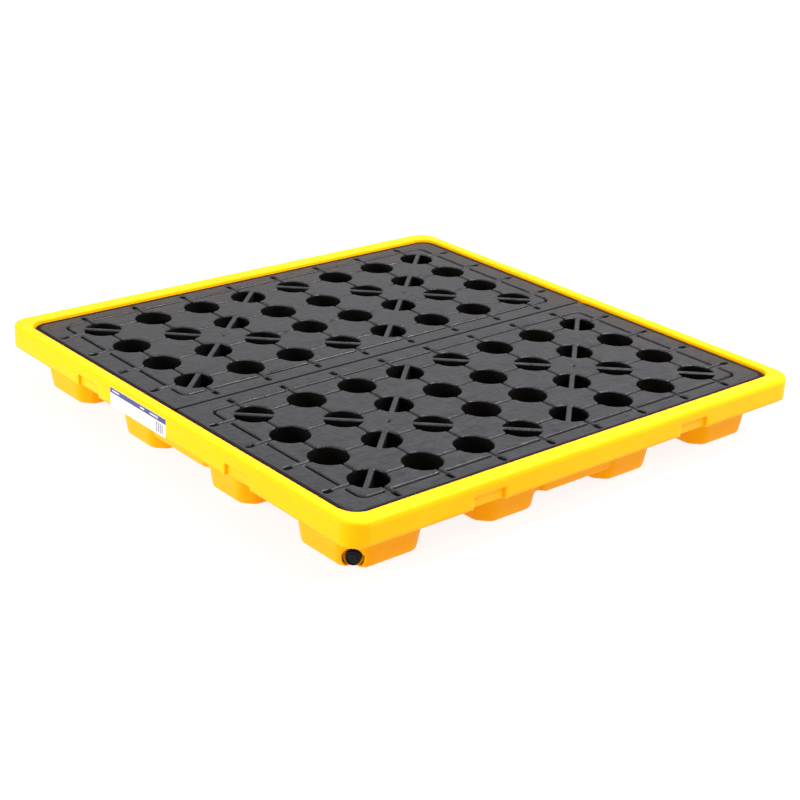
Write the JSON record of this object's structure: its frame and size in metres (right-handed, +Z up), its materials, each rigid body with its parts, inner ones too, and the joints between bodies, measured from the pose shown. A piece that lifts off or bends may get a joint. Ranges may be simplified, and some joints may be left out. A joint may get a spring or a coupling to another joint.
{
  "type": "spill containment pallet",
  "caption": "Low drum spill deck: square moulded sump tray on hollow feet, two lift-out perforated grates and a threaded drain plug in a corner foot.",
  "frame": {"origin": "on the floor, under the centre of the tray", "axes": "+Z up, +X along the split between the grates, +Y towards the rear grate; label on the -X face, drain plug in the -X -Y corner foot"},
  "size_m": [1.25, 1.235, 0.14],
  "materials": {
    "sump_yellow": "satin moulded polyethylene",
    "grate_black": "satin recycled polyethylene with flow streaks",
    "fitting_black": "moulded nylon",
    "gasket_rubber": "matt rubber",
    "label_film": "white vinyl film with a dark blue band"
  },
  "bodies": {
    "sump": {"sump_base": "sump_yellow", "drain_insert": "fitting_black", "label": "label_film"},
    "front_grate": {"front_grate": "grate_black"},
    "rear_grate": {"rear_grate": "grate_black"},
    "gasket": {"drain_gasket": "gasket_rubber"},
    "plug": {"drain_plug": "fitting_black"}
  },
  "joints": [
    {"name": "front_grate_lift", "type": "slide", "parent": "sump", "child": "front_grate", "axis": [0, 0, 1], "range_m": [0, 0.2]},
    {"name": "rear_grate_lift", "type": "slide", "parent": "sump", "child": "rear_grate", "axis": [0, 0, 1], "range_m": [0, 0.2]},
    {"name": "plug_travel", "type": "slide", "parent": "sump", "child": "gasket", "axis": [-0.7071, -0.7071, 0], "range_m": [0, 0.018]},
    {"name": "plug_turn", "type": "hinge", "parent": "gasket", "child": "plug", "pos_m": [-0.553, -0.536, 0.021], "axis": [-0.7071, -0.7071, 0], "range_deg": [0, 2160]}
  ],
  "couplings": [
    {"joint": "plug_travel", "follows": "plug_turn", "m_per_rad": 0.00047746}
  ]
}
